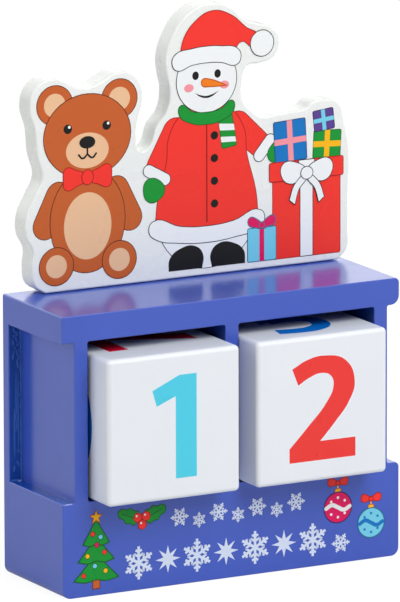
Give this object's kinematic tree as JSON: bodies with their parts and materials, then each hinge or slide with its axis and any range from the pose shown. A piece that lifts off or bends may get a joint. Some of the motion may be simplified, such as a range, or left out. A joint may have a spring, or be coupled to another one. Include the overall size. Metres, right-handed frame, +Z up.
{
  "type": "wooden countdown calendar",
  "caption": "Painted wooden countdown calendar: an open case with a pull-out number cube in each compartment and a cut-out picture board standing on its top.",
  "frame": {"origin": "centre of the case's flat underside", "axes": "+Z up through the case and the cut-out board, +Y from the front to the back, +X along the case to its right seen from the front"},
  "size_m": [0.1402, 0.0599, 0.2066],
  "materials": {
    "blue_paint": "gloss paint on wood",
    "white_paint": "gloss paint on wood, printed front",
    "cube_paint": "satin white paint on wood, printed numerals",
    "dowel_wood": "bare beech",
    "pin_steel": "bright wire"
  },
  "bodies": {
    "case": {"base_block": "blue_paint", "back_panel": "blue_paint", "left_side_panel": "blue_paint", "centre_divider": "blue_paint", "right_side_panel": "blue_paint", "top_slab": "blue_paint", "topper_board": "white_paint", "base_dowel_1": "dowel_wood", "base_dowel_2": "dowel_wood", "base_dowel_3": "dowel_wood", "base_dowel_4": "dowel_wood", "base_dowel_5": "dowel_wood", "base_dowel_6": "dowel_wood", "slab_dowel_1": "dowel_wood", "slab_dowel_2": "dowel_wood", "slab_dowel_3": "dowel_wood", "slab_dowel_4": "dowel_wood", "slab_dowel_5": "dowel_wood", "slab_dowel_6": "dowel_wood", "topper_dowel_1": "dowel_wood", "topper_dowel_2": "dowel_wood", "topper_dowel_3": "dowel_wood", "back_panel_pin_1": "pin_steel", "back_panel_pin_2": "pin_steel", "back_panel_pin_3": "pin_steel", "back_panel_pin_4": "pin_steel", "back_panel_pin_5": "pin_steel", "back_panel_pin_6": "pin_steel"},
    "left_cube": {"left_number_cube": "cube_paint"},
    "right_cube": {"right_number_cube": "cube_paint"}
  },
  "joints": [
    {"name": "left_cube_slide", "type": "slide", "parent": "case", "child": "left_cube", "axis": [0, -1, 0], "range_m": [0, 0.06]},
    {"name": "right_cube_slide", "type": "slide", "parent": "case", "child": "right_cube", "axis": [0, -1, 0], "range_m": [0, 0.06]}
  ]
}
